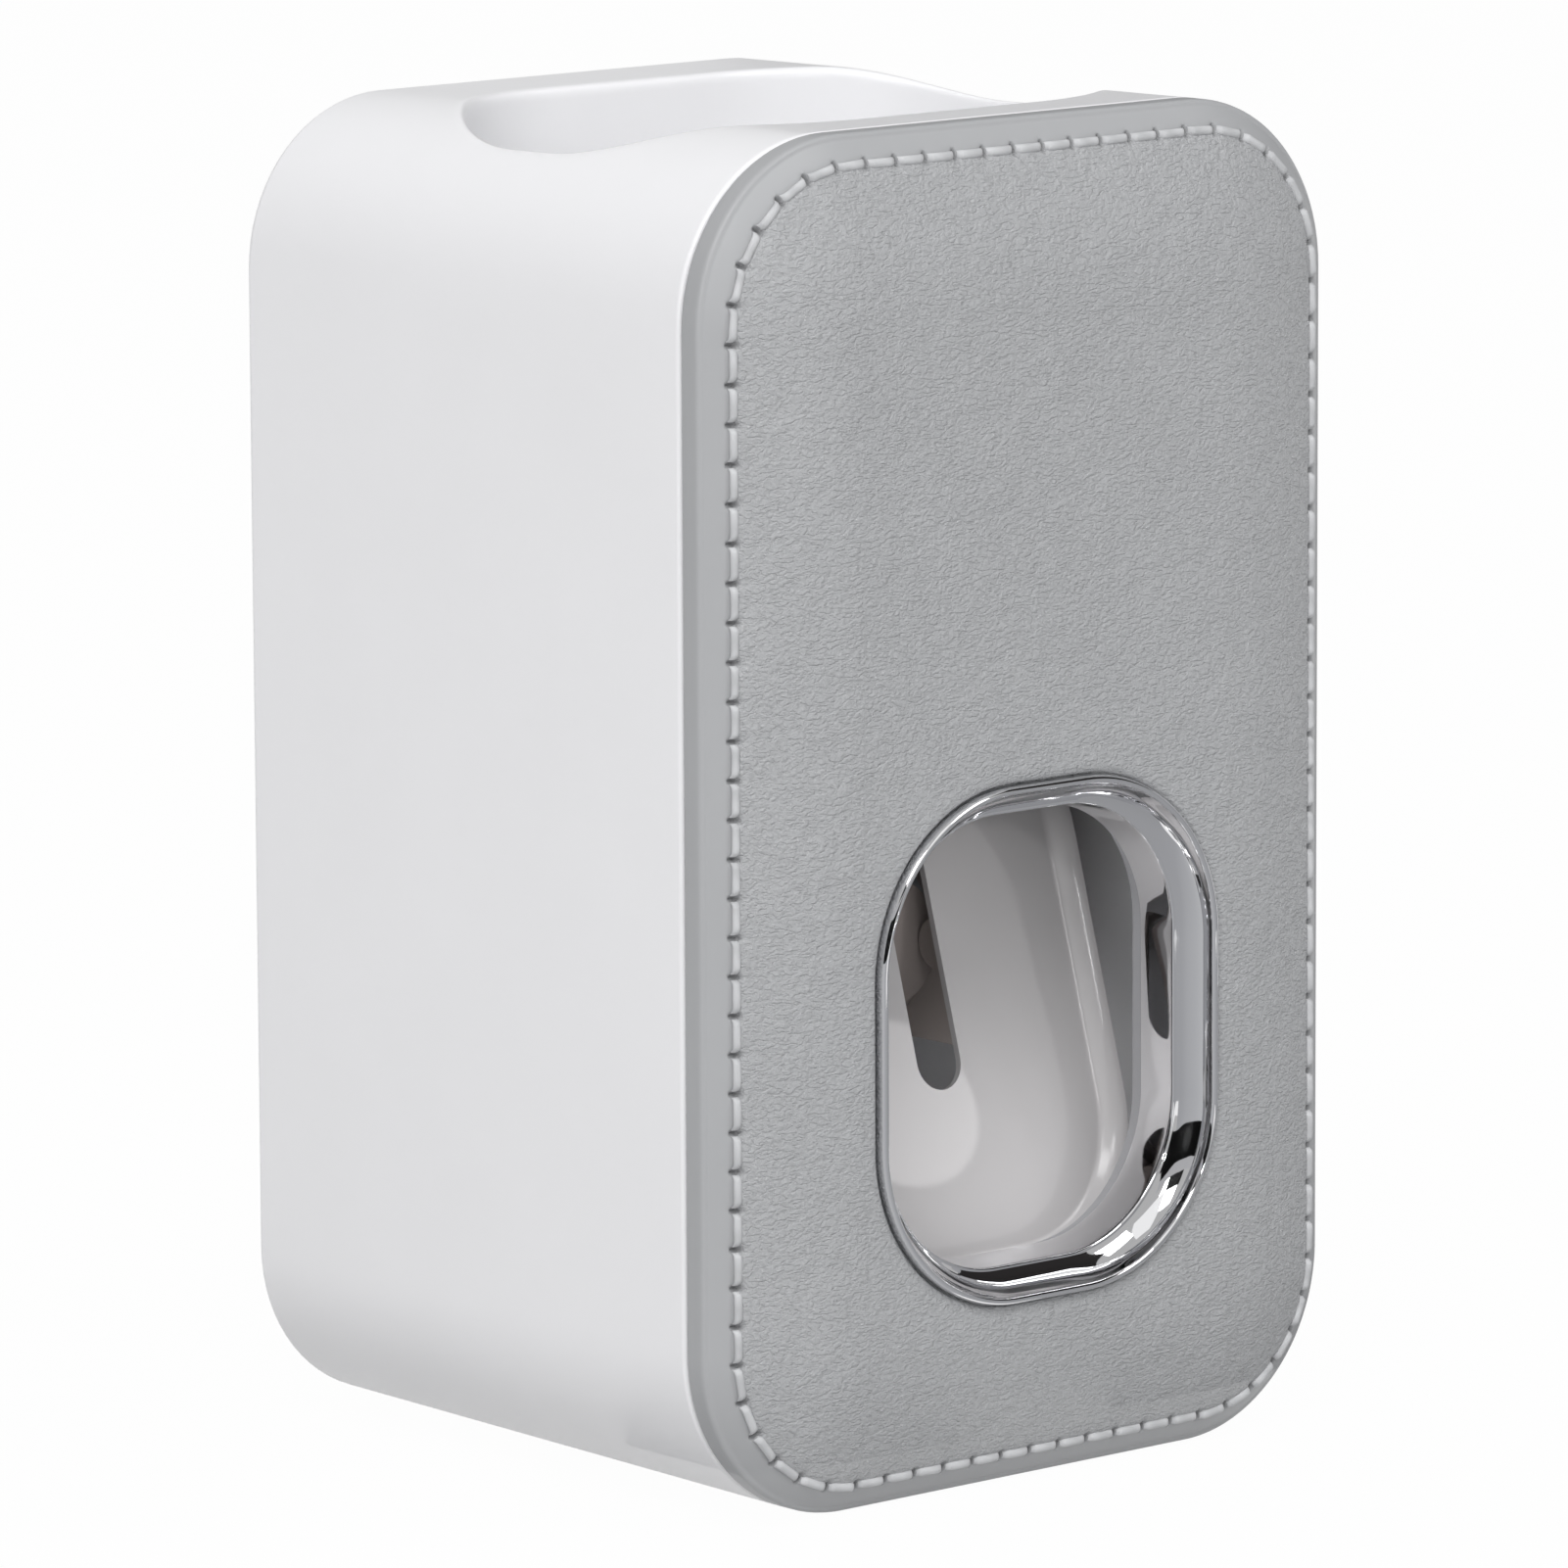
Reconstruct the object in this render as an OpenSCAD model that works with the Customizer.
// Wall or counter toothpaste dispenser: a white moulded shell with a padded, stitched front cover,
// a plated bezel round the brush bay, a push lever and a small bellows pump under an open tube well.
// Millimetres. +Z is up, +Y is the back, and the origin is the middle of the box at the bottom.
// Inside each module y = 0 is the front rim of the housing, where the cover meets it.

/* [Housing] */
// Width of the housing at its front rim
body_w = 78.8; // [76:0.2:90]
// Height of the housing at its front rim
body_h = 130; // [126:0.5:150]
// Depth of the housing from front rim to back rim
body_d = 65; // [63:0.5:80]
// Corner radius of the housing seen from the front
corner_r = 17.2; // [14:0.2:19]
// How far each side draws in from the front rim to the back rim
draft_in = 0.95; // [0.4:0.05:1.6]
// Wall thickness of the housing
wall = 2.2; // [1.8:0.1:2.6]

/* [Tube well] */
// Width of the tube well in the top
well_w = 62.4; // [54:0.2:64]
// Distance from the front rim to the front of the tube well
well_front = 7.5; // [7:0.1:9]
// Distance from the back rim to the back of the tube well
well_back = 11.5; // [11:0.1:16]
// Corner radius of the tube well seen from above
well_r = 20.5; // [12:0.5:20.8]
// Height of the collar that the housing carries round the well
collar_h = 16; // [10:0.5:20]
// Height of the floor of the tube cradle above the base
cradle_z = 79; // [78.8:0.1:84]
// Wall thickness of the tube cradle
cradle_wall = 1.8; // [1.4:0.1:2.2]

/* [Front cover] */
// Depth of the upright edge of the front cover
cover_edge = 2.6; // [2:0.1:3.4]
// Distance from the cover's outline to the seam line
seam_in = 2.45; // [2.2:0.05:3]
// Height of the rounded margin from the upright edge to the seam line
margin_rise = 1.6; // [1.3:0.1:2]
// Height of the pillow from the seam line to its flat middle
pillow_rise = 3; // [2:0.1:4]
// Width of the curved band of the pillow inside the seam line
pillow_band = 14; // [8:0.5:14.4]
// Wall thickness of the front cover
cover_wall = 2; // [1.6:0.1:2.2]
// Gap that shows as a dark groove between cover and housing
cover_gap = 0.2; // [0.15:0.05:0.4]

/* [Stitching] */
// Spacing of the stitches along the seam
stitch_pitch = 3.68; // [3.2:0.05:5]
// Length of one stitch
stitch_l = 3; // [2:0.1:3.1]
// Width of one stitch
stitch_w = 0.95; // [0.6:0.05:1.1]
// Height of a stitch above the bed of the seam
stitch_h = 0.5; // [0.3:0.05:0.7]

/* [Bezel] */
// Outer width of the plated bezel
bezel_w = 43.4; // [40:0.2:46]
// Outer height of the plated bezel
bezel_h = 50.8; // [48:0.2:54]
// Outer corner radius of the plated bezel
bezel_r = 17; // [12:0.2:19]
// Height of the middle of the bezel above the base
bezel_z = 43.1; // [42:0.1:44]
// Height of the bead above the flat middle of the cover
bead_h = 0.7; // [0.6:0.05:1.2]
// Width of the bead
bead_w = 1.2; // [0.9:0.05:1.6]
// Width of the hollow slope inside the bead
cove_w = 2; // [1.4:0.1:2.4]
// Thickness of the plated bezel
bezel_t = 1.1; // [0.8:0.05:1.3]

/* [Cover backplate] */
// Thickness of the plate behind the cover
plate_t = 1.4; // [1.2:0.1:1.5]
// Depth of the skirt that enters the housing
skirt_d = 3.5; // [2.5:0.5:4]
// Length of the four fingers that guide the cover
finger_l = 11; // [8:1:14]
// Clearance of the skirt and the fingers inside the housing
skirt_gap = 0.25; // [0.15:0.05:0.4]

/* [Push lever] */
// Width of the push lever
lever_w = 42.6; // [38:0.2:43]
// Thickness of the plate of the lever
lever_t = 2.2; // [1.8:0.1:2.4]
// Forward lean of the lever at rest, in degrees
lever_lean = 16; // [14:0.5:18]
// Length of the lever below its pin
lever_l = 54.8; // [50:0.2:55]
// Radius of the lower corners of the lever
lever_r = 15; // [10:0.5:18]
// Height of the lip along the sides and the bottom of the lever
lip_h = 1.5; // [0.8:0.1:1.6]
// Width of the slot that the nozzle passes
slot_w = 5.5; // [5.4:0.1:8]
// Distance from the pin down to the round end of the slot
slot_l = 33.8; // [30:0.2:38]
// Diameter of the lever pin
pin_d = 3; // [2.4:0.1:3.4]
// Height of the lever pin above the base
pin_z = 71; // [70.5:0.1:71.2]
// Distance from the front rim to the lever pin
pin_y = 18; // [17.8:0.1:18.2]

/* [Pump] */
// Distance from the front rim to the axis of the tube neck
neck_y = 30.5; // [30:0.1:31.5]
// Height of the pump axis above the base
pump_z = 49; // [48:0.1:49.5]
// Radius of the pump chamber
chamber_r = 10; // [9.4:0.1:10.5]
// Depth of the pump chamber
chamber_d = 9.5; // [9.2:0.1:12]
// Distance from the front rim to the front of the chamber
chamber_y = 27; // [26.8:0.1:27.4]
// Wall thickness of the pump parts
pump_wall = 2; // [1.6:0.1:2.2]
// Radius of the pressing pad
pad_r = 6.2; // [6:0.1:6.5]
// Distance from the front rim to the face of the pressing pad
pad_y = 15.5; // [15.4:0.05:15.7]
// Wall thickness of the silicone bellows
bellows_t = 0.8; // [0.6:0.05:1]
// Wire diameter of the return spring
wire_d = 0.8; // [0.6:0.05:1]
// Number of coils of the return spring
spring_turns = 7; // [5:1:8]
// Diameter of the tube neck that the inlet seal takes
neck_d = 11.2; // [9:0.1:12]
// Outer diameter of the outlet nozzle
nozzle_d = 4.8; // [4:0.1:4.8]
// Bore of the outlet nozzle
nozzle_bore = 3; // [2:0.1:3.2]
// Height of the nozzle's tip above the base
nozzle_tip_z = 62.3; // [58:0.1:62.5]
// Distance from the front rim to the middle of the nozzle's tip
nozzle_tip_y = 8; // [7:0.1:9]

/* [Core frame] */
// Thickness of the core frame
frame_t = 2.4; // [2:0.1:2.6]
// Distance from the back rim to the rear face of the core frame
frame_back = 15; // [14:0.1:17]
// Clear width between the two cheeks of the core frame
cheek_gap = 45; // [44.6:0.1:48]

/* [Wall plate] */
// Width of the wall plate
mount_w = 52; // [50:0.5:56]
// Height of the wall plate
mount_h = 74; // [70:0.5:76]
// Thickness of the wall plate
mount_t = 2.7; // [2.4:0.1:3]
// Height of the lower edge of the wall plate above the base
mount_z = 30; // [26:0.5:33]
// Travel of the wall plate when it is unhooked
mount_travel = 5; // [4.6:0.1:5.4]
// Thickness of the adhesive pad
adhesive_t = 1.6; // [1:0.1:2]
// Diameter of the two screw holes of the wall plate
mount_hole_d = 4.2; // [3.4:0.1:5]
// Distance between the two screw holes of the wall plate
mount_pitch = 46; // [40:0.5:50]

/* [Hidden] */

// General clearances
slip = 0.05;
loose = 0.3;
eps = 0.01;

// Depth levels, from the front of the bezel to the back of the adhesive pad
seam_y = -(cover_edge + margin_rise);
flat_y = seam_y - pillow_rise;
front_y = flat_y - bead_h;
recess_d = mount_t + loose + 1;
mount_y = body_d - recess_d + loose;
rear_y = mount_y + mount_t + adhesive_t;
mid_y = (front_y + rear_y) / 2;

// Housing
well_d = body_d - well_front - well_back;
well_y = well_front + well_d / 2;
well_corner = min(well_r, well_d / 2 - 0.5);
well_floor_z = cradle_z + cradle_wall;
frame_y = body_d - frame_back;
collar_z = body_h - collar_h;
recess_w = mount_w + 2;
recess_z0 = mount_z - mount_travel - 0.5;
recess_z1 = mount_z + mount_h + 1;
recess_y = body_d - recess_d;
tray_y = recess_y - back_wall();
boss_r = 3.5;
boss_x = 19;
boss_z = [40, 68];
pilot_r = 1.5;
screw_head_r = 2.8;
screw_head_h = 2;
screw_l = 8;
foot_w = 24;
foot_d = 7;

// Hooks of the wall plate
hook_x = 11;
hook_w = 7;
hook_t = 3;
hook_lip_t = 2;
hook_rise = 4;
hook_z = [50, 88];

// Front cover and bezel
seat_y = -0.6;
hole_in = 0.8;
sleeve_in = 1;
stitch_play = 0.12;
stitch_sink = 0.2;
ledge_w = 1.1;
hollow_step = 0.6;
arris_y = front_y + 3.3;
throat_in = bead_w + cove_w + 0.4;
plate_in = wall + skirt_gap;
skirt_t = 1.6;
finger_t = 1.4;
finger_h = 10;
finger_in = 0.25;
finger_z = [39, 93.6];

// Lever
barrel_r = 3.5;
barrel_x = 6.2;
clip_t = 0.7;
clip_w = 1.4;
clip_groove = 0.35;
clip_gap = 0.2;
pin_end = 1.3;
lever_face = -0.2;
rib_r = 2.5;
rib_x0 = slot_w / 2 + 0.7;
rib_x1 = pad_r - 0.4;
rib_y = pad_y - loose - rib_r;

// Pump
pad_t = 2;
tower_r = 9.5;
tower_z = 74;
seal_r = 7.4;
seal_flange_r = 11.4;
seal_flange_t = 1.8;
valve_z = 69;
valve_t = 1.2;
duct_z = 65;
duct_r = 2;
riser_y = chamber_y + 1.7;
riser_r = 1.5;
port_y = neck_y + 2.5;
socket_r = 3.2;
socket_y0 = neck_y - tower_r - 0.1;
socket_y1 = socket_y0 + 5.2;
chamber_end = chamber_y + chamber_d;
deck_z = tower_z;
deck_top = deck_z + frame_t;
ear_x = 13;
ring_t = 1.6;
ring_grip = 2;
ring_r = chamber_r + pump_wall + 1.5;
spring_r = 4;
bellows_play = 0.6;
ring_gap = 0.2;
front_cut = chamber_r + 5;

// Posts between the tube cradle and the deck
post_x = 19;
post_back = 6.5;
post_y = frame_y - post_back;

function back_wall() = 2.4;

// Places everything so that the origin is the middle of the box
module at_frame() {
    translate([0, -mid_y, 0]) children();
}

// A flat shape in x and z, given a thickness from y0 to y1
module slab(y0, y1) {
    translate([0, y1, 0]) rotate([90, 0, 0]) linear_extrude(y1 - y0) children();
}

// A round bar along y
module bar_y(r, y0, y1, x = 0, z = 0) {
    translate([x, y0, z]) rotate([-90, 0, 0]) cylinder(h = y1 - y0, r = r, $fn = 48);
}

// A round bar along x, centred on x
module bar_x(r, x0, x1, y, z) {
    translate([x0, y, z]) rotate([0, 90, 0]) cylinder(h = x1 - x0, r = r, $fn = 48);
}

// A rectangle with round corners, centred
module rounded(w, h, r) {
    square([w - 2 * r, h], center = true);
    square([w, h - 2 * r], center = true);
    for (sx = [-1, 1], sy = [-1, 1])
        translate([sx * (w / 2 - r), sy * (h / 2 - r)]) circle(r, $fn = 64);
}

// The front outline of the body, drawn in by a given amount
module outline(inset) {
    translate([0, body_h / 2])
        rounded(body_w - 2 * inset, body_h - 2 * inset, max(0.5, corner_r - inset));
}

// The outline of the bezel, drawn in by a given amount
module bay(inset) {
    translate([0, bezel_z])
        rounded(bezel_w - 2 * inset, bezel_h - 2 * inset, bezel_r - inset);
}

// A block with the body's outline whose levels are pairs: how far drawn in, and where in depth
module loft(levels) {
    half = body_w / 2;
    last = len(levels) - 1;
    back = [for (i = [last : -1 : 0]) levels[i]];
    for (sx = [-1, 1], cz = [corner_r, body_h - corner_r])
        translate([sx * (half - corner_r), 0, cz]) rotate([-90, 0, 0]) rotate_extrude($fn = 96)
            polygon(concat([[0, levels[0][1]]], [for (p = levels) [corner_r - p[0], p[1]]],
                [[0, levels[last][1]]]));
    translate([0, 0, corner_r]) linear_extrude(body_h - 2 * corner_r)
        polygon(concat([for (p = levels) [half - p[0], p[1]]], [for (p = back) [p[0] - half, p[1]]]));
    translate([corner_r - half, 0, 0]) rotate([90, 0, 90]) linear_extrude(body_w - 2 * corner_r)
        polygon(concat([for (p = levels) [p[1], p[0]]], [for (p = back) [p[1], body_h - p[0]]]));
}

// The body outline as a block that draws in evenly towards the back
module drafted(inset, y0, y1) {
    loft([[inset + draft_in * y0 / body_d, y0], [inset + draft_in * y1 / body_d, y1]]);
}

// The tube well as an upright prism, grown by a given amount
module well(grow, z0, z1) {
    translate([0, well_y, z0]) linear_extrude(z1 - z0)
        rounded(well_w + 2 * grow, well_d + 2 * grow, well_corner + grow);
}

// Places children at the four screw posts of the core frame
module at_posts() {
    for (sx = [-1, 1], z = boss_z) translate([sx * boss_x, 0, z]) children();
}

// Places children at the four hooks of the wall plate
module at_hooks() {
    for (sx = [-1, 1], z = hook_z) translate([sx * hook_x, 0, z]) children();
}

// White shell: open at the front, with the well collar, the wall recess and the posts of the core
module housing() {
    color("whitesmoke") at_frame() difference() {
        union() {
            drafted(0, 0, body_d);
            translate([-foot_w / 2, body_d - 2 * foot_d, 0]) cube([foot_w, foot_d, wall]);
        }
        difference() {
            drafted(wall, -eps, body_d - back_wall());
            translate([-recess_w / 2 - wall, tray_y, recess_z0 - wall])
                cube([recess_w + 2 * wall, body_d - tray_y, recess_z1 - recess_z0 + 2 * wall]);
            well(wall, collar_z, body_h);
            at_posts() bar_y(boss_r, frame_y, body_d - back_wall());
        }
        well(0, collar_z - 1, body_h + 1);
        translate([-recess_w / 2, recess_y, recess_z0])
            cube([recess_w, recess_d + 1, recess_z1 - recess_z0]);
        at_hooks() translate([-hook_w / 2 - loose, tray_y - 1, -hook_slot()])
            cube([hook_w + 2 * loose, back_wall() + 2, hook_slot() + hook_t + loose]);
        at_posts() bar_y(pilot_r, frame_y - 1, frame_y + screw_l - frame_t + 0.5);
    }
}

// How far the slot of a hook reaches below the hook at rest
function hook_slot() = mount_travel + 0.6;

// One curved level of the pillow: how far in, and how far forward
function pillow_y(t) = seam_y - pillow_rise * (1 - (1 - t) * (1 - t));

// Levels of the cover's outer face, from its rear edge to its flat middle
function face_levels() = concat(
    [[0, -cover_gap], [0, -cover_edge], [0.25 * seam_in, -cover_edge - 0.6 * margin_rise]],
    [for (t = [0, 0.2, 0.45, 0.7, 1]) [seam_in + pillow_band * t, pillow_y(t)]]);

// Levels of the hollow behind that face
function hollow_levels() =
    let (start = seam_in + cover_wall, edge = plate_in + ledge_w, band = pillow_band - cover_wall - 0.4)
    concat([[edge, seat_y], [edge, cover_wall + seam_y + hollow_step]],
        [for (t = [0, 0.45, 1]) [start + band * t, cover_wall + pillow_y(t)]]);

// Grey padded cover with a bed for the stitches and the opening of the brush bay
module front_cover() {
    color("darkgray") at_frame() difference() {
        loft(face_levels());
        difference() {
            loft(hollow_levels());
            slab(flat_y, seat_y + 1) bay(hole_in - cover_wall);
        }
        slab(seat_y, 1) outline(plate_in - slip);
        slab(flat_y - 1, 0) bay(hole_in);
        slab(flat_y, stitch_bed()) difference() {
            outline(seam_in - stitch_w / 2 - stitch_play);
            outline(seam_in + stitch_w / 2 + stitch_play);
        }
    }
}

// Level of the flat bed that the stitches lie on
function stitch_bed() = seam_y + stitch_sink;

// Lengths along the seam, for spacing the stitches evenly
seam_r = corner_r - seam_in;
seam_w = body_w - 2 * corner_r;
seam_h = body_h - 2 * corner_r;
seam_arc = PI * seam_r / 2;
seam_len = 2 * (seam_w + seam_h) + 4 * seam_arc;
stitch_n = round(seam_len / stitch_pitch);

// Place and heading on the seam at a distance along it, starting at the middle of the bottom
function seam_at(s) =
    let (side = [seam_w / 2, seam_arc, seam_h, seam_arc, seam_w, seam_arc, seam_h, seam_arc, seam_w / 2])
    seam_step(s, side, 0);
function seam_step(s, side, i) =
    (i < 8 && s > side[i]) ? seam_step(s - side[i], side, i + 1) : seam_spot(s, i);
function seam_spot(s, i) =
    let (cx = seam_w / 2, c0 = corner_r, c1 = body_h - corner_r, q = 90 * s / seam_arc)
    i == 0 ? [s, seam_in, 0] :
    i == 1 ? [cx + seam_r * sin(q), c0 - seam_r * cos(q), q] :
    i == 2 ? [cx + seam_r, c0 + s, 90] :
    i == 3 ? [cx + seam_r * cos(q), c1 + seam_r * sin(q), 90 + q] :
    i == 4 ? [cx - s, c1 + seam_r, 180] :
    i == 5 ? [-cx - seam_r * sin(q), c1 + seam_r * cos(q), 180 + q] :
    i == 6 ? [-cx - seam_r, c1 - s, 270] :
    i == 7 ? [-cx - seam_r * cos(q), c0 - seam_r * sin(q), 270 + q] :
    [-cx + s, seam_in, 0];

// Thread: one short bar for each stitch, lying on the bed of the seam
module stitching() {
    color("lightgray") at_frame() slab(stitch_bed() - stitch_h, stitch_bed())
        for (i = [0 : stitch_n - 1]) {
            p = seam_at((i + 0.5) * seam_len / stitch_n);
            translate([p[0], p[1]]) rotate(p[2]) square([stitch_l, stitch_w], center = true);
        }
}

// White plate behind the cover, with the skirt and the fingers that enter the housing
module cover_backplate() {
    finger_x = body_w / 2 - plate_in - finger_in - finger_t;
    color("gainsboro") at_frame() difference() {
        union() {
            slab(seat_y, seat_y + plate_t) outline(plate_in);
            slab(seat_y + plate_t - eps, skirt_d) difference() {
                outline(plate_in);
                outline(plate_in + skirt_t);
            }
            for (x = [-finger_x - finger_t, finger_x], z = finger_z)
                translate([x, 0, z - finger_h / 2]) cube([finger_t, finger_l, finger_h]);
        }
        slab(seat_y - 1, seat_y + plate_t + 1) bay(throat_in);
    }
}

// Section of the bezel: how far in from its outline, and where in depth
function bezel_section() = [
    [0, flat_y], [0.12, flat_y - 0.5 * bead_h], [0.35, front_y + 0.1], [0.6, front_y],
    [bead_w - 0.25, front_y + 0.1], [bead_w, front_y + 0.35],
    [bead_w + 0.25 * cove_w, arris_y - 1.7], [bead_w + 0.6 * cove_w, arris_y - 0.7],
    [bead_w + cove_w, arris_y], [throat_in, seat_y],
    [throat_in - bezel_t, seat_y], [sleeve_in + 0.9, arris_y + 0.9],
    [sleeve_in, flat_y + 1.2], [sleeve_in, flat_y]
];

// Plated ring round the brush bay
module bezel() {
    sec = bezel_section();
    w = bezel_w / 2;
    h = bezel_h / 2;
    color("silver") at_frame() translate([0, 0, bezel_z]) {
        for (q = [0 : 3]) {
            mx = (q == 0 || q == 3) ? 1 : -1;
            mz = (q < 2) ? 1 : -1;
            translate([mx * (w - bezel_r), 0, mz * (h - bezel_r)]) rotate([90, q * -90, 0])
                rotate_extrude(angle = 90, $fn = 96)
                    polygon([for (p = sec) [bezel_r - p[0], -p[1]]]);
        }
        for (sx = [-1, 1])
            translate([0, 0, bezel_r - h]) linear_extrude(2 * (h - bezel_r))
                polygon([for (p = sec) [sx * (w - p[0]), p[1]]]);
        for (sz = [-1, 1])
            translate([bezel_r - w, 0, 0]) rotate([90, 0, 90]) linear_extrude(2 * (w - bezel_r))
                polygon([for (p = sec) [p[1], sz * (h - p[0])]]);
    }
}

// Outline of the lever below its pin, drawn in by a given amount
module lever_outline(inset, top) {
    w = lever_w / 2 - inset;
    r = lever_r - inset;
    bottom = inset - lever_l;
    translate([-w, bottom + r]) square([2 * w, top - bottom - r]);
    translate([r - w, bottom]) square([2 * w - 2 * r, r + eps]);
    for (sx = [-1, 1]) translate([sx * (w - r), bottom + r]) circle(r, $fn = 64);
}

// Places children in the frame of the lever, whose origin is the pin
module at_lever() {
    at_frame() translate([0, pin_y, pin_z]) rotate([-lever_lean, 0, 0]) children();
}

// White dish that the toothbrush pushes, forked at the top round the nozzle
module push_lever() {
    lip_w = 1.8;
    lip_top = -9;
    color("white") {
        at_lever() difference() {
            union() {
                slab(lever_face, lever_face + lever_t) lever_outline(0, 0);
                slab(lever_face - lip_h, lever_face + eps) difference() {
                    lever_outline(0, lip_top);
                    lever_outline(lip_w, lip_top + 1);
                }
                bar_x(barrel_r, -lever_w / 2, lever_w / 2, 0, 0);
            }
            slab(-barrel_r - 1, barrel_r + 1) {
                translate([-slot_w / 2, -slot_l]) square([slot_w, slot_l + barrel_r + 1]);
                translate([0, -slot_l]) circle(slot_w / 2, $fn = 48);
            }
            translate([-barrel_x, -barrel_r - 1, -barrel_r - 1])
                cube([2 * barrel_x, 2 * barrel_r + 2, 2 * barrel_r + 2]);
            bar_x(pin_d / 2 + slip, -lever_w, lever_w, 0, 0);
        }
        at_frame() for (sx = [-1, 1]) difference() {
            rib(sx);
            ahead_of_plate();
        }
    }
}

// A rounded rib on the back of the lever that meets the pressing pad
module rib(sx) {
    x0 = sx > 0 ? rib_x0 : -rib_x1;
    x1 = sx > 0 ? rib_x1 : -rib_x0;
    bar_x(rib_r, x0, x1, rib_y, pump_z);
}

// The space in front of the lever plate, cut from the ribs
module ahead_of_plate() {
    translate([0, pin_y, pin_z]) rotate([-lever_lean, 0, 0])
        translate([-lever_w, lever_face - 20, -lever_l]) cube([2 * lever_w, 20 + lever_t / 2, lever_l]);
}

// Steel pin of the lever
module lever_pin() {
    pin_l = cheek_gap + 2 * frame_t + 2 * pin_end;
    color("silver") at_frame() difference() {
        bar_x(pin_d / 2, -pin_l / 2, pin_l / 2, pin_y, pin_z);
        for (sx = [-1, 1]) clip_ring(sx, pin_d, pin_d / 2 - clip_groove, clip_t + 2 * slip);
    }
}

// Place of a clip along the pin, outside the cheek
function clip_x() = cheek_gap / 2 + frame_t + clip_gap + clip_t / 2 + slip;

// A ring round one end of the pin
module clip_ring(sx, r_out, r_in, t) {
    x = sx * clip_x();
    difference() {
        bar_x(r_out, x - t / 2, x + t / 2, pin_y, pin_z);
        bar_x(r_in, x - t, x + t, pin_y, pin_z);
    }
}

// Two spring clips that keep the pin in the cheeks
module pin_clips() {
    mouth = pin_d * 2 / 3;
    color("dimgray") at_frame() for (sx = [-1, 1]) difference() {
        clip_ring(sx, pin_d / 2 + clip_w, pin_d / 2 - clip_groove, clip_t);
        translate([sx * clip_x() - clip_t, pin_y - mouth / 2, pin_z])
            cube([2 * clip_t, mouth, pin_d + clip_w]);
    }
}

// Dark frame inside: rear plate, two cheeks for the pin and the deck over the pump
module core_frame() {
    cheek = cheek_gap / 2;
    plate_z = 34;
    color("dimgray") at_frame() difference() {
        union() {
            translate([-cheek - frame_t, frame_y - frame_t, plate_z])
                cube([2 * (cheek + frame_t), frame_t, deck_top - plate_z]);
            for (x = [-cheek - frame_t, cheek])
                translate([x, 0, 0]) rotate([90, 0, 90]) linear_extrude(frame_t)
                    polygon([[frame_y, plate_z], [frame_y, deck_top], [pin_y - 4, deck_top],
                        [pin_y - 4, pin_z - 5], [chamber_y, pin_z - 12], [chamber_y, plate_z]]);
            translate([-cheek - frame_t, pin_y + barrel_r + 1.2, deck_z])
                cube([2 * (cheek + frame_t), frame_y - pin_y - barrel_r - 1.2, frame_t]);
        }
        bar_x(pin_d / 2 + slip, -cheek - 5, cheek + 5, pin_y, pin_z);
        at_posts() bar_y(pilot_r + slip, frame_y - 5, frame_y + 1);
        translate([0, neck_y, deck_z - 1]) cylinder(h = frame_t + 2, r = seal_r + slip, $fn = 64);
        for (sx = [-1, 1]) {
            translate([sx * ear_x, neck_y, deck_z - 1]) cylinder(h = frame_t + 2, r = pilot_r, $fn = 32);
            translate([sx * post_x, post_y, deck_z - 1])
                cylinder(h = frame_t + 2, r = pilot_r, $fn = 32);
        }
    }
}

// A pan head screw along +z from its head at z = 0
module screw(l) {
    translate([0, 0, -screw_head_h]) cylinder(h = screw_head_h, r = screw_head_r, $fn = 32);
    translate([0, 0, -eps]) cylinder(h = l, r = pilot_r - slip, $fn = 32);
}

// Four screws that hold the core frame to the housing
module core_screws() {
    color("silver") at_frame() at_posts()
        translate([0, frame_y - frame_t, 0]) rotate([-90, 0, 0]) screw(screw_l);
}

// Two screws that hang the pump under the deck
module pump_screws() {
    color("silver") at_frame() for (sx = [-1, 1])
        translate([sx * ear_x, neck_y, tower_z - 3]) screw(3 + frame_t);
}

// Two screws that hold the tube cradle to the deck
module cradle_screws() {
    color("silver") at_frame() for (sx = [-1, 1])
        translate([sx * post_x, post_y, well_floor_z]) mirror([0, 0, 1])
            screw(well_floor_z - deck_z);
}

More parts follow.
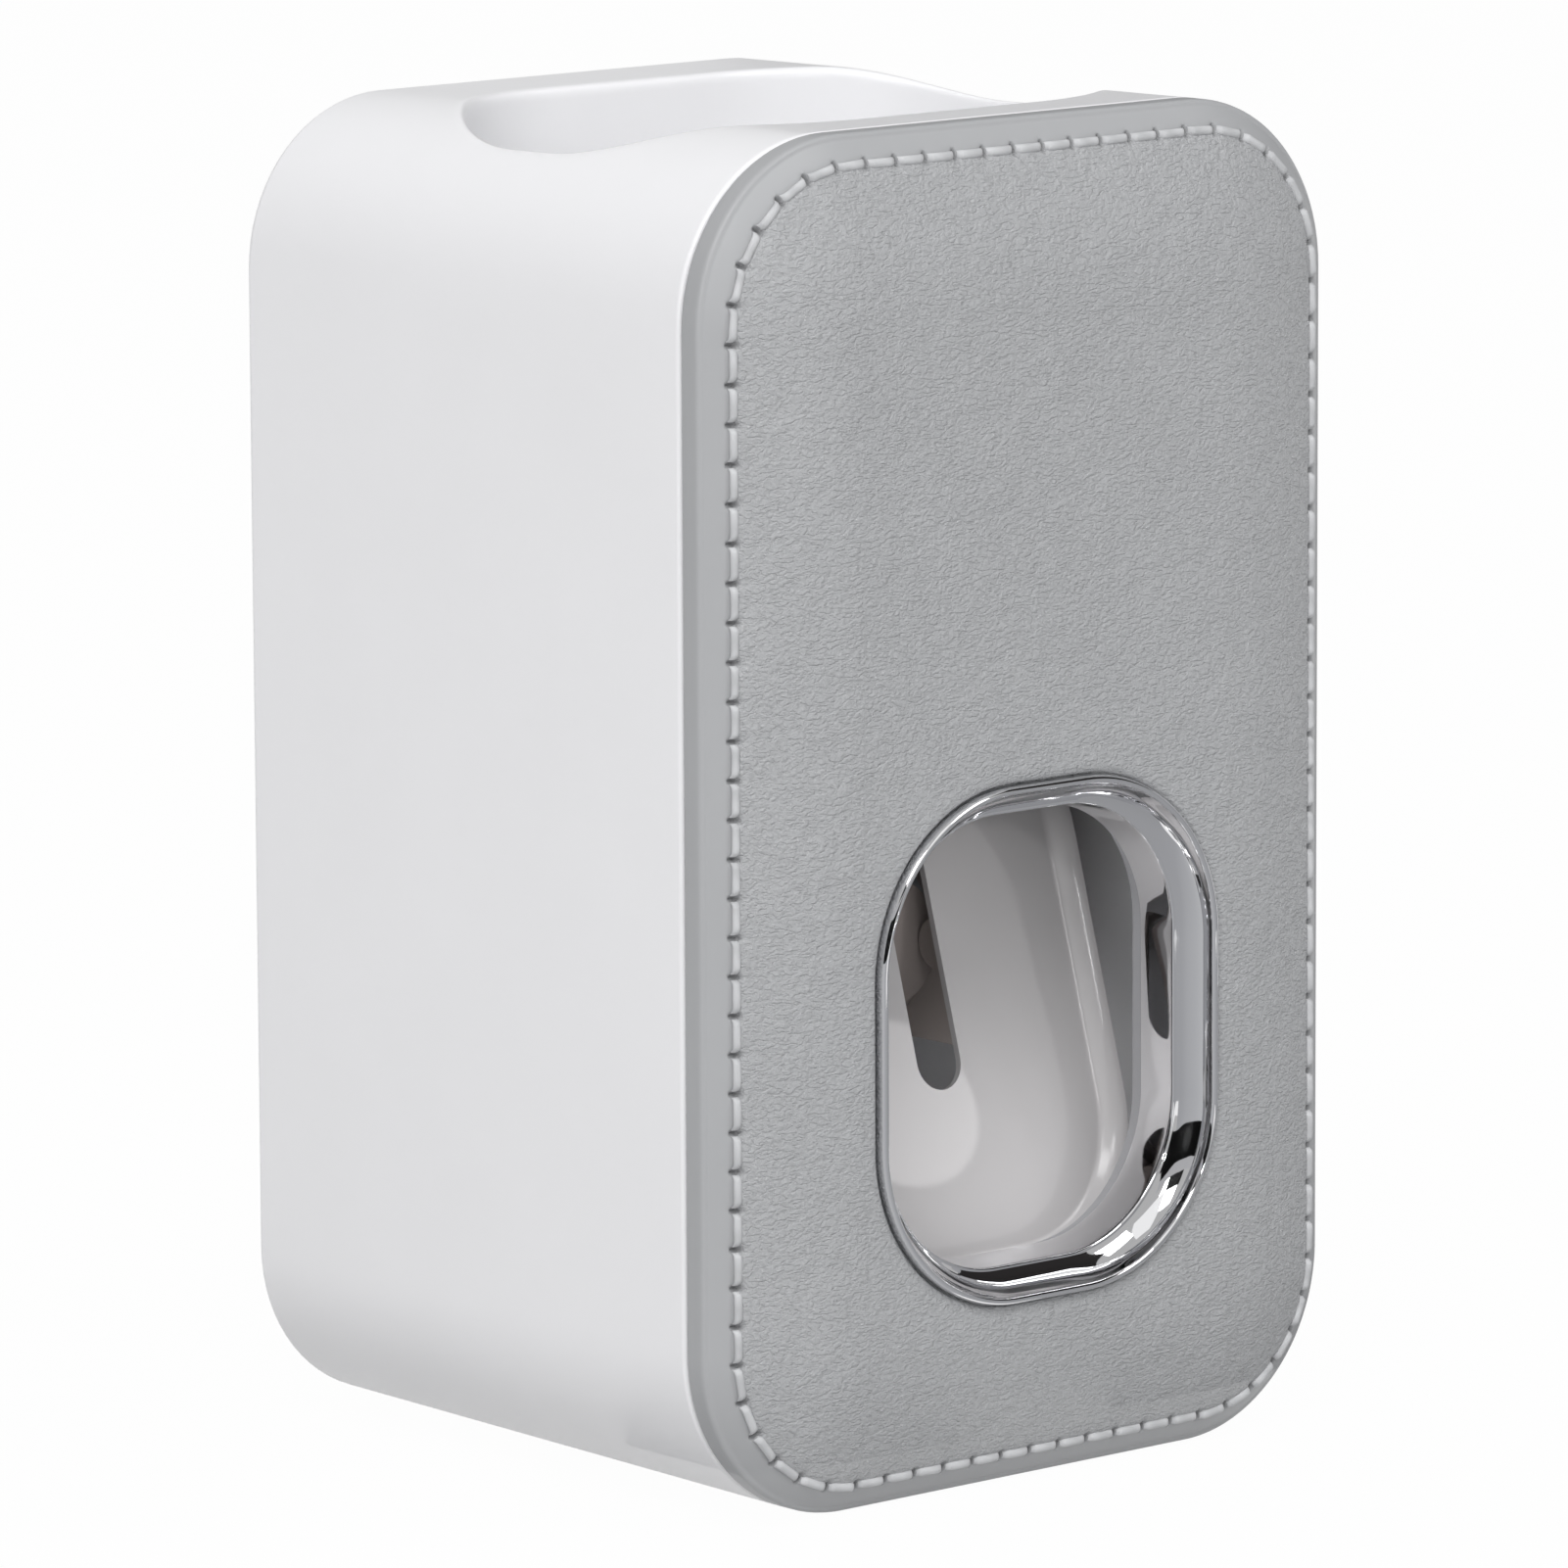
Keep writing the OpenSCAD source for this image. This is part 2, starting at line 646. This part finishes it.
// Pump block: chamber, tower for the tube neck, riser and socket of the nozzle
module pump_body() {
    color("slategray") at_frame() difference() {
        union() {
            bar_y(chamber_r + pump_wall, chamber_y, chamber_end + pump_wall, 0, pump_z);
            translate([0, neck_y, pump_z]) cylinder(h = tower_z - pump_z, r = tower_r, $fn = 64);
            bar_y(socket_r + 1.5, socket_y0, neck_y, 0, duct_z);
            translate([-ear_x, neck_y - boss_r, tower_z - 3]) cube([2 * ear_x, 2 * boss_r, 3]);
            for (sx = [-1, 1])
                translate([sx * ear_x, neck_y, tower_z - 3]) cylinder(h = 3, r = boss_r, $fn = 32);
        }
        bar_y(chamber_r, chamber_y - eps, chamber_end, 0, pump_z);
        translate([-front_cut, chamber_y - front_cut, pump_z - front_cut])
            cube([2 * front_cut, front_cut, front_cut + chamber_r + pump_wall + ring_gap]);
        translate([0, neck_y, valve_z]) cylinder(h = tower_z, r = seal_r + slip, $fn = 64);
        translate([0, port_y, pump_z]) cylinder(h = valve_z - pump_z + 1, r = duct_r, $fn = 32);
        translate([0, riser_y, pump_z]) cylinder(h = duct_z - pump_z, r = riser_r, $fn = 32);
        bar_y(riser_r, socket_y0, riser_y, 0, duct_z);
        bar_y(socket_r, socket_y0 - 1, socket_y1, 0, duct_z);
        for (sx = [-1, 1])
            translate([sx * ear_x, neck_y, tower_z - 4]) cylinder(h = 5, r = pilot_r, $fn = 32);
    }
}

// Folded silicone bellows that is the moving wall of the pump
module bellows() {
    y0 = pad_y + pad_t;
    y1 = chamber_y;
    folds = 4;
    r0 = spring_r + wire_d / 2 + bellows_play + bellows_t;
    r1 = chamber_r - 1.5;
    step = (y1 - y0 - 2 * bellows_t) / folds;
    outer = [for (i = [0 : 2 * folds]) [i % 2 == 0 ? r0 : r1, bellows_t + i * step / 2]];
    inner = [for (i = [2 * folds : -1 : 0]) [(i % 2 == 0 ? r0 : r1) - bellows_t, bellows_t + i * step / 2]];
    color("lightsteelblue") at_frame() translate([0, y0, pump_z]) rotate([-90, 0, 0])
        rotate_extrude($fn = 64)
            polygon(concat([[r0 - bellows_t, 0], [r0, 0]], outer,
                [[chamber_r + 0.8, y1 - y0 - bellows_t], [chamber_r + 0.8, y1 - y0],
                [r0 - bellows_t, y1 - y0]], inner));
}

// Ring that clamps the rim of the bellows on the pump block
module bellows_ring() {
    lip = 0.6;
    color("dimgray") at_frame() difference() {
        bar_y(ring_r, chamber_y - bellows_t - ring_t, chamber_y + ring_grip, 0, pump_z);
        bar_y(chamber_r + pump_wall + slip, chamber_y - bellows_t, chamber_y + ring_grip + 1, 0, pump_z);
        bar_y(chamber_r - lip, chamber_y - ring_r, chamber_y, 0, pump_z);
        translate([-ring_r, chamber_y - ring_r, pump_z + chamber_r + pump_wall + ring_gap / 2])
            cube([2 * ring_r, 2 * ring_r, ring_r]);
        translate([0, neck_y, pump_z]) cylinder(h = tower_z - pump_z, r = tower_r + loose, $fn = 64);
    }
}

// Pad on the front of the bellows that the lever's ribs press
module press_pad() {
    color("dimgray") at_frame() {
        bar_y(pad_r, pad_y, pad_y + pad_t, 0, pump_z);
        bar_y(spring_r - wire_d / 2 - 0.3, pad_y, pad_y + pad_t + 1.2, 0, pump_z);
    }
}

// Points of one ring of the spring wire, at an angle along the helix
function wire_ring(a, pitch) = [for (k = [0 : 5])
    let (rr = spring_r + wire_d / 2 * cos(60 * k))
    [rr * cos(a), rr * sin(a), pitch * a / 360 + wire_d / 2 * sin(60 * k)]];

// Return spring of the pump, one unbroken wire of six sides
module return_spring() {
    y0 = pad_y + pad_t;
    free = chamber_end - y0 - wire_d;
    pitch = free / spring_turns;
    rings = 8 * spring_turns;
    pts = [for (i = [0 : rings]) each wire_ring(45 * i, pitch)];
    sides = [for (i = [0 : rings - 1], k = [0 : 5]) let (a = 6 * i + k, b = 6 * i + (k + 1) % 6)
        each [[a, b, b + 6], [a, b + 6, a + 6]]];
    first = [for (k = [1 : 4]) [0, k + 1, k]];
    last = [for (k = [1 : 4]) [6 * rings, 6 * rings + k, 6 * rings + k + 1]];
    echo(least_gap_between_coils = pitch - wire_d);
    color("silver") at_frame() translate([0, y0 + wire_d / 2, pump_z]) rotate([-90, 0, 0])
        polyhedron(points = pts, faces = concat(sides, first, last), convexity = 6);
}

// Silicone seal that grips the neck of the tube
module inlet_seal() {
    color("lightsteelblue") at_frame() translate([0, neck_y, 0]) difference() {
        union() {
            translate([0, 0, valve_z + valve_t]) cylinder(h = deck_top - valve_z, r = seal_r, $fn = 64);
            translate([0, 0, deck_top]) cylinder(h = seal_flange_t, r = seal_flange_r, $fn = 64);
        }
        translate([0, 0, valve_z]) cylinder(h = deck_top, r = neck_d / 2, $fn = 64);
    }
}

// Flap that closes the inlet while the pump pushes
module inlet_valve() {
    color("lightsteelblue") at_frame() translate([0, neck_y, valve_z]) difference() {
        cylinder(h = valve_t, r = seal_r, $fn = 64);
        for (sx = [-1, 1]) translate([sx * 3.6 - 0.8, -2.5, -1]) cube([1.6, 5, valve_t + 2]);
    }
}

// Small valve in the socket that opens towards the nozzle
module outlet_valve() {
    color("lightsteelblue") at_frame() difference() {
        union() {
            bar_y(socket_r - slip, socket_y1 - 1.4, socket_y1, 0, duct_z);
            bar_y(1.6, socket_y1 - 3, socket_y1, 0, duct_z);
        }
        translate([-1, socket_y1 - 4, duct_z - 0.15]) cube([2, 5, 0.3]);
    }
}

// Nozzle: a flange in the socket, a tube through the slot of the lever and a bend down to the tip
module outlet_nozzle() {
    r = nozzle_d / 2;
    y_end = socket_y1 - 1.4;
    color("gainsboro") at_frame() difference() {
        union() {
            bar_y(socket_r - slip, socket_y0 + 0.2, y_end, 0, duct_z);
            bar_y(r, nozzle_tip_y, y_end, 0, duct_z);
            translate([0, nozzle_tip_y, duct_z]) sphere(r, $fn = 48);
            translate([0, nozzle_tip_y, nozzle_tip_z]) cylinder(h = duct_z - nozzle_tip_z, r = r, $fn = 48);
        }
        bar_y(nozzle_bore / 2, nozzle_tip_y, y_end - 1.8, 0, duct_z);
        bar_y(2, y_end - 1.9, y_end + 1, 0, duct_z);
        translate([0, nozzle_tip_y, nozzle_tip_z - 1])
            cylinder(h = duct_z - nozzle_tip_z + 1, r = nozzle_bore / 2, $fn = 48);
    }
}

// White cup below the well collar that holds the shoulder of the tube
module tube_cradle() {
    color("whitesmoke") at_frame() difference() {
        union() {
            well(cradle_wall, cradle_z, collar_z - loose);
            for (sx = [-1, 1])
                translate([sx * post_x, post_y, deck_top])
                    cylinder(h = cradle_z - deck_top + eps, r = boss_r, $fn = 32);
        }
        well(0, well_floor_z, collar_z + 1);
        translate([0, neck_y, cradle_z - 1])
            cylinder(h = cradle_wall + 2, r = seal_flange_r + loose, $fn = 64);
        for (sx = [-1, 1])
            translate([sx * post_x, post_y, deck_top - 1])
                cylinder(h = well_floor_z - deck_top + 2, r = pilot_r + slip, $fn = 32);
    }
}

// Wall plate with four hooks that the housing hangs on
module wall_plate() {
    lip_y = tray_y - loose - hook_lip_t;
    color("whitesmoke") at_frame() difference() {
        union() {
            translate([-mount_w / 2, mount_y, mount_z]) cube([mount_w, mount_t, mount_h]);
            at_hooks() translate([-hook_w / 2, 0, 0]) {
                translate([0, lip_y, 0]) cube([hook_w, mount_y - lip_y + eps, hook_t]);
                translate([0, lip_y, 0]) cube([hook_w, hook_lip_t, hook_t + hook_rise]);
            }
        }
        wall_holes(mount_y - 1, mount_y + mount_t + 1);
    }
}

// The two screw holes of the wall plate
module wall_holes(y0, y1) {
    for (sz = [-1, 1])
        bar_y(mount_hole_d / 2, y0, y1, 0, mount_z + mount_h / 2 + sz * mount_pitch / 2);
}

// Adhesive pad on the back of the wall plate
module adhesive_pad() {
    edge = 3;
    color("lightgray") at_frame() difference() {
        slab(mount_y + mount_t, rear_y) translate([0, mount_z + mount_h / 2])
            rounded(mount_w - 2 * edge, mount_h - 2 * edge, 4);
        wall_holes(mount_y, rear_y + 1);
    }
}

housing();
front_cover();
cover_backplate();
bezel();
stitching();
push_lever();
lever_pin();
pin_clips();
core_frame();
core_screws();
pump_body();
pump_screws();
bellows();
bellows_ring();
press_pad();
return_spring();
inlet_seal();
inlet_valve();
outlet_valve();
outlet_nozzle();
tube_cradle();
cradle_screws();
wall_plate();
adhesive_pad();
